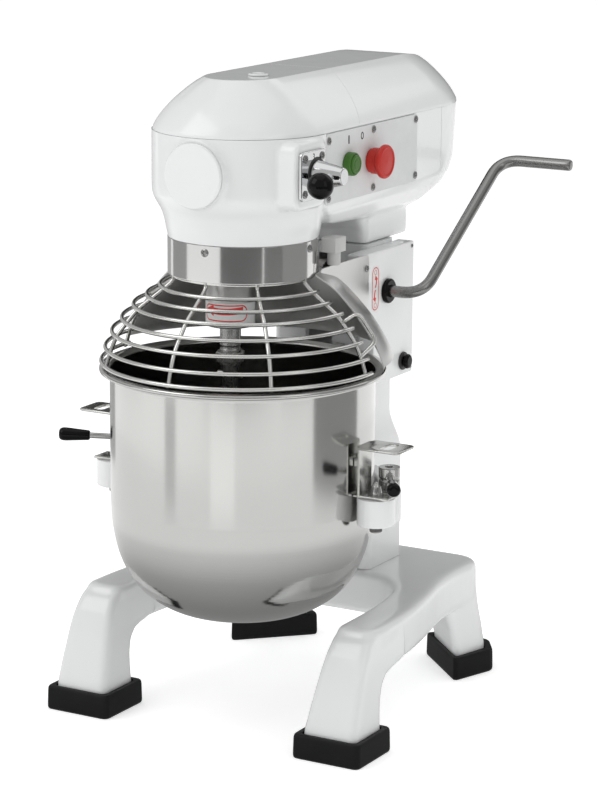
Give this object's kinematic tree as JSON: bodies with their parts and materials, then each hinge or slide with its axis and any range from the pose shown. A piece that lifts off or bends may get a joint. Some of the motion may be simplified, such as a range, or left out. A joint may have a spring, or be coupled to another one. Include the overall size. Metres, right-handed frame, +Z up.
{
  "type": "commercial stand mixer",
  "caption": "Floor or bench planetary stand mixer with a cast base on arched legs, crank-lifted steel bowl, swinging wire bowl guard and a side control panel.",
  "frame": {"origin": "middle of the footprint on the floor, which is the bottom centre of the bounding box", "axes": "+Z up, the front of the machine with the bowl and guard faces -Y, +X is the operator's right where the controls and the lift crank are"},
  "size_m": [0.5012, 0.597, 0.793],
  "materials": {
    "white_paint": "gloss",
    "polished_steel": "polished",
    "satin_steel": "satin",
    "wire_steel": "bright",
    "chrome": "mirror",
    "rubber": "matt",
    "black_plastic": "gloss",
    "panel_grey": "satin",
    "green_plastic": "satin gloss",
    "red_plastic": "satin gloss",
    "gear_steel": "oiled",
    "cast_iron": "as cast",
    "dark_plastic": "matt",
    "bronze": "oiled"
  },
  "bodies": {
    "machine_frame": {"base_casting": "white_paint", "foot_front_right": "rubber", "foot_front_left": "rubber", "foot_rear_right": "rubber", "foot_rear_left": "rubber", "column": "white_paint", "guide_rail_right": "polished_steel", "guide_rail_left": "polished_steel", "column_rear_cover": "white_paint", "lift_cover": "white_paint", "crank_bush": "black_plastic", "reset_socket": "dark_plastic", "shield_bracket": "white_paint", "cable_gland": "dark_plastic", "gearbox_housing": "white_paint", "attachment_hub_cap": "white_paint", "top_cover_front": "white_paint", "filler_plug": "white_paint", "motor_cover": "white_paint", "control_panel": "panel_grey", "start_bezel": "green_plastic", "stop_bezel": "red_plastic", "speed_plate": "chrome", "collar_band": "polished_steel", "bearing_flange": "cast_iron", "ring_gear": "gear_steel", "splash_shield": "polished_steel", "guard_switch": "panel_grey", "motor_body": "cast_iron", "motor_fan_cowl": "dark_plastic"},
    "lift_crank": {"crank_handle": "satin_steel", "lift_sector": "gear_steel"},
    "bowl_carriage": {"bowl_yoke": "white_paint", "lift_rack": "gear_steel", "locating_pin_right": "chrome", "locating_pin_left": "chrome", "mixing_bowl": "polished_steel", "bowl_ear_right": "polished_steel", "bowl_ear_left": "polished_steel"},
    "clamp_right": {"clamp_block_right": "chrome", "lever_grip_right": "black_plastic"},
    "clamp_left": {"clamp_block_left": "chrome", "lever_grip_left": "black_plastic"},
    "bowl_guard": {"wire_guard": "wire_steel"},
    "planetary": {"planet_carrier": "polished_steel", "planet_seal": "dark_plastic", "main_shaft": "gear_steel", "drive_gear": "bronze"},
    "beater_drive": {"beater_shaft": "chrome", "planet_pinion": "gear_steel"},
    "countershaft_unit": {"countershaft": "gear_steel"},
    "motor_rotor": {"motor_shaft": "gear_steel", "motor_fan": "dark_plastic"},
    "speed_selector": {"speed_lever": "chrome", "speed_knob": "black_plastic"},
    "start_push": {"start_button": "green_plastic"},
    "stop_push": {"stop_button": "red_plastic"},
    "reset_push": {"reset_button": "black_plastic"}
  },
  "joints": [
    {"name": "bowl_lift", "type": "slide", "parent": "machine_frame", "child": "bowl_carriage", "axis": [0, 0, -1], "range_m": [0, 0.077]},
    {"name": "crank_turn", "type": "hinge", "parent": "machine_frame", "child": "lift_crank", "pos_m": [0.0146, 0.0775, 0.509], "axis": [-1, 0, 0], "range_deg": [0, 130]},
    {"name": "clamp_right_turn", "type": "hinge", "parent": "bowl_carriage", "child": "clamp_right", "pos_m": [0.1966, -0.0895, 0.32], "axis": [0, 0, 1], "range_deg": [0, 90]},
    {"name": "clamp_left_turn", "type": "hinge", "parent": "bowl_carriage", "child": "clamp_left", "pos_m": [-0.1674, -0.0895, 0.32], "axis": [0, 0, -1], "range_deg": [0, 90]},
    {"name": "guard_swing", "type": "hinge", "parent": "machine_frame", "child": "bowl_guard", "pos_m": [0.0146, -0.1255, 0.5], "axis": [0, 0, -1], "range_deg": [0, 84]},
    {"name": "planetary_spin", "type": "hinge", "parent": "machine_frame", "child": "planetary", "pos_m": [0.0146, -0.1255, 0.56], "axis": [0, 0, 1], "continuous": true},
    {"name": "beater_spin", "type": "hinge", "parent": "planetary", "child": "beater_drive", "pos_m": [0.02357, -0.1696, 0.5], "axis": [0, 0, 1], "continuous": true},
    {"name": "countershaft_spin", "type": "hinge", "parent": "machine_frame", "child": "countershaft_unit", "pos_m": [0.0146, -0.0295, 0.69], "axis": [0, 0, 1], "continuous": true},
    {"name": "motor_spin", "type": "hinge", "parent": "machine_frame", "child": "motor_rotor", "pos_m": [0.0146, 0.0345, 0.702], "axis": [0, 1, 0], "continuous": true},
    {"name": "speed_select", "type": "hinge", "parent": "machine_frame", "child": "speed_selector", "pos_m": [0.1446, -0.1555, 0.686], "axis": [-1, 0, 0], "range_deg": [0, 80]},
    {"name": "start_press", "type": "slide", "parent": "machine_frame", "child": "start_push", "axis": [-1, 0, 0], "range_m": [0, 0.004], "stiffness_N_per_m": 400},
    {"name": "stop_press", "type": "slide", "parent": "machine_frame", "child": "stop_push", "axis": [-1, 0, 0], "range_m": [0, 0.0035]},
    {"name": "reset_press", "type": "slide", "parent": "machine_frame", "child": "reset_push", "axis": [-1, 0, 0], "range_m": [0, 0.0025], "stiffness_N_per_m": 400}
  ],
  "couplings": [
    {"joint": "crank_turn", "follows": "bowl_lift", "rad_per_m": 29.412},
    {"joint": "beater_spin", "follows": "planetary_spin", "ratio": -3.75},
    {"joint": "countershaft_spin", "follows": "planetary_spin", "ratio": -1.6667},
    {"joint": "motor_spin", "follows": "planetary_spin", "ratio": 2.8125}
  ]
}
